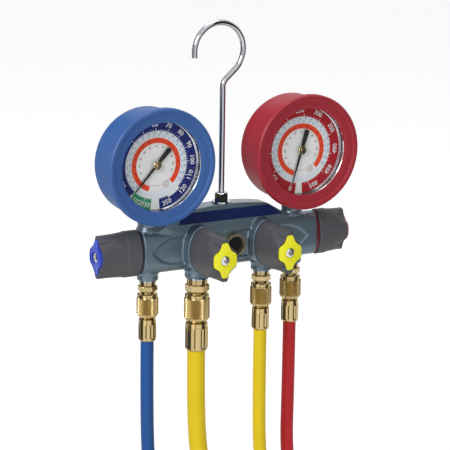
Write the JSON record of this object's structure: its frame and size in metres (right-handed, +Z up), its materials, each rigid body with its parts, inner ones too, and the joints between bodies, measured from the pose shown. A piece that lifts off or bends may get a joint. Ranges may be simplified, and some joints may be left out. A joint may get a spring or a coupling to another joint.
{
  "type": "refrigerant manifold gauge",
  "caption": "Refrigerant test manifold on a hook: low and high side gauges in rubber boots, hand valves, sight glass and coiled hoses.",
  "frame": {"origin": "inside top of the hook, where it rests on what carries it", "axes": "+Z up, +X along the manifold towards the high side, -Y to the front, where the dials and the two front valves face"},
  "size_m": [0.2446, 0.203, 0.6778],
  "materials": {
    "body_paint": "satin blue-grey powder coat",
    "chrome": "polished",
    "brass": "machined",
    "sight_lens": "dark glass",
    "collar_dark": "dark",
    "collar_red": "dark red",
    "knob_grey": "soft-touch grey",
    "cap_blue": "gloss blue",
    "cap_yellow": "gloss yellow",
    "cap_red": "gloss red",
    "boot_blue": "satin",
    "boot_red": "satin",
    "hose_blue": "satin",
    "hose_yellow": "satin",
    "hose_red": "satin",
    "gauge_glass": "clear",
    "dial_white": "printed",
    "pointer_black": "black",
    "steel": "turned",
    "tie_black": "black strap"
  },
  "bodies": {
    "manifold": {"charging_hose": "hose_yellow", "charging_hose_coil": "hose_yellow", "hanging_hook": "chrome", "high_bezel": "chrome", "high_boot": "boot_red", "high_case": "steel", "high_collar": "collar_red", "high_dial": "dial_white", "high_hose": "hose_red", "high_hose_coil": "hose_red", "high_lens": "gauge_glass", "high_movement": "brass", "hook_nut": "chrome", "hook_washer": "chrome", "hose_ferrules": "brass", "hose_ties": "tie_black", "low_bezel": "chrome", "low_boot": "boot_blue", "low_case": "steel", "low_collar": "collar_dark", "low_dial": "dial_white", "low_hose": "hose_blue", "low_hose_coil": "hose_blue", "low_lens": "gauge_glass", "low_movement": "brass", "manifold_body": "body_paint", "port_fittings": "brass", "sight_glass_lens": "sight_lens", "sight_glass_ring": "brass", "vacuum_hose": "hose_yellow", "vacuum_hose_coil": "hose_yellow", "valve_bonnets": "brass"},
    "low_piston": {"low_piston": "brass"},
    "low_spindle": {"low_stem": "steel", "low_knob": "knob_grey", "low_cap": "cap_blue"},
    "low_upper_coupler": {"low_upper_coupler": "brass"},
    "low_lower_coupler": {"low_lower_coupler": "brass"},
    "vacuum_piston": {"vacuum_piston": "brass"},
    "vacuum_spindle": {"vacuum_stem": "steel", "vacuum_knob": "knob_grey", "vacuum_cap": "cap_yellow"},
    "vacuum_upper_coupler": {"vacuum_upper_coupler": "brass"},
    "vacuum_lower_coupler": {"vacuum_lower_coupler": "brass"},
    "charging_piston": {"charging_piston": "brass"},
    "charging_spindle": {"charging_stem": "steel", "charging_knob": "knob_grey", "charging_cap": "cap_yellow"},
    "charging_upper_coupler": {"charging_upper_coupler": "brass"},
    "charging_lower_coupler": {"charging_lower_coupler": "brass"},
    "high_piston": {"high_piston": "brass"},
    "high_spindle": {"high_stem": "steel", "high_knob": "knob_grey", "high_cap": "cap_red"},
    "high_upper_coupler": {"high_upper_coupler": "brass"},
    "high_lower_coupler": {"high_lower_coupler": "brass"},
    "low_pointer": {"low_pointer": "pointer_black"},
    "low_sector": {"low_sector": "brass"},
    "high_pointer": {"high_pointer": "pointer_black"},
    "high_sector": {"high_sector": "brass"}
  },
  "joints": [
    {"name": "low_valve_lift", "type": "slide", "parent": "manifold", "child": "low_piston", "axis": [-1, 0, 0], "range_m": [0, 0.003]},
    {"name": "low_valve_turn", "type": "hinge", "parent": "low_piston", "child": "low_spindle", "pos_m": [-0.0754, 0, -0.188], "axis": [-1, 0, 0], "range_deg": [0, 1080]},
    {"name": "low_upper_coupler_spin", "type": "hinge", "parent": "manifold", "child": "low_upper_coupler", "pos_m": [-0.0665, 0, -0.22385], "axis": [0, 0, 1], "continuous": true},
    {"name": "low_lower_coupler_spin", "type": "hinge", "parent": "manifold", "child": "low_lower_coupler", "pos_m": [-0.1065, -0.059, -0.64431], "axis": [0, 0, 1], "continuous": true},
    {"name": "vacuum_valve_lift", "type": "slide", "parent": "manifold", "child": "vacuum_piston", "axis": [0, -1, 0], "range_m": [0, 0.003]},
    {"name": "vacuum_valve_turn", "type": "hinge", "parent": "vacuum_piston", "child": "vacuum_spindle", "pos_m": [-0.0247, -0.0195, -0.188], "axis": [0, -1, 0], "range_deg": [0, 1080]},
    {"name": "vacuum_upper_coupler_spin", "type": "hinge", "parent": "manifold", "child": "vacuum_upper_coupler", "pos_m": [-0.0247, -0.011, -0.22635], "axis": [0, 0, 1], "continuous": true},
    {"name": "vacuum_lower_coupler_spin", "type": "hinge", "parent": "manifold", "child": "vacuum_lower_coupler", "pos_m": [-0.0533, -0.086, -0.67277], "axis": [0, 0, 1], "continuous": true},
    {"name": "charging_valve_lift", "type": "slide", "parent": "manifold", "child": "charging_piston", "axis": [0, -1, 0], "range_m": [0, 0.003]},
    {"name": "charging_valve_turn", "type": "hinge", "parent": "charging_piston", "child": "charging_spindle", "pos_m": [0.0383, -0.0195, -0.188], "axis": [0, -1, 0], "range_deg": [0, 1080]},
    {"name": "charging_upper_coupler_spin", "type": "hinge", "parent": "manifold", "child": "charging_upper_coupler", "pos_m": [0.0383, -0.011, -0.22385], "axis": [0, 0, 1], "continuous": true},
    {"name": "charging_lower_coupler_spin", "type": "hinge", "parent": "manifold", "child": "charging_lower_coupler", "pos_m": [0.0057, -0.07, -0.64459], "axis": [0, 0, 1], "continuous": true},
    {"name": "high_valve_lift", "type": "slide", "parent": "manifold", "child": "high_piston", "axis": [1, 0, 0], "range_m": [0, 0.003]},
    {"name": "high_valve_turn", "type": "hinge", "parent": "high_piston", "child": "high_spindle", "pos_m": [0.094, 0, -0.188], "axis": [1, 0, 0], "range_deg": [0, 1080]},
    {"name": "high_upper_coupler_spin", "type": "hinge", "parent": "manifold", "child": "high_upper_coupler", "pos_m": [0.0745, 0, -0.22385], "axis": [0, 0, 1], "continuous": true},
    {"name": "high_lower_coupler_spin", "type": "hinge", "parent": "manifold", "child": "high_lower_coupler", "pos_m": [0.1078, -0.059, -0.6446], "axis": [0, 0, 1], "continuous": true},
    {"name": "low_sector_turn", "type": "hinge", "parent": "manifold", "child": "low_sector", "pos_m": [-0.0665, -0.0085, -0.13422], "axis": [0, 1, 0], "range_deg": [-29.7, 3.3], "stiffness_Nm_per_rad": 0.2},
    {"name": "low_pointer_turn", "type": "hinge", "parent": "manifold", "child": "low_pointer", "pos_m": [-0.0665, -0.0085, -0.111], "axis": [0, 1, 0], "range_deg": [-33, 297]},
    {"name": "high_sector_turn", "type": "hinge", "parent": "manifold", "child": "high_sector", "pos_m": [0.0745, -0.0085, -0.13422], "axis": [0, 1, 0], "range_deg": [-32, 0], "stiffness_Nm_per_rad": 0.2},
    {"name": "high_pointer_turn", "type": "hinge", "parent": "manifold", "child": "high_pointer", "pos_m": [0.0745, -0.0085, -0.111], "axis": [0, 1, 0], "range_deg": [0, 320]}
  ],
  "couplings": [
    {"joint": "low_valve_turn", "follows": "low_valve_lift", "rad_per_m": 6283.2},
    {"joint": "vacuum_valve_turn", "follows": "vacuum_valve_lift", "rad_per_m": 6283.2},
    {"joint": "charging_valve_turn", "follows": "charging_valve_lift", "rad_per_m": 6283.2},
    {"joint": "high_valve_turn", "follows": "high_valve_lift", "rad_per_m": 6283.2},
    {"joint": "low_pointer_turn", "follows": "low_sector_turn", "ratio": -10},
    {"joint": "high_pointer_turn", "follows": "high_sector_turn", "ratio": -10}
  ]
}
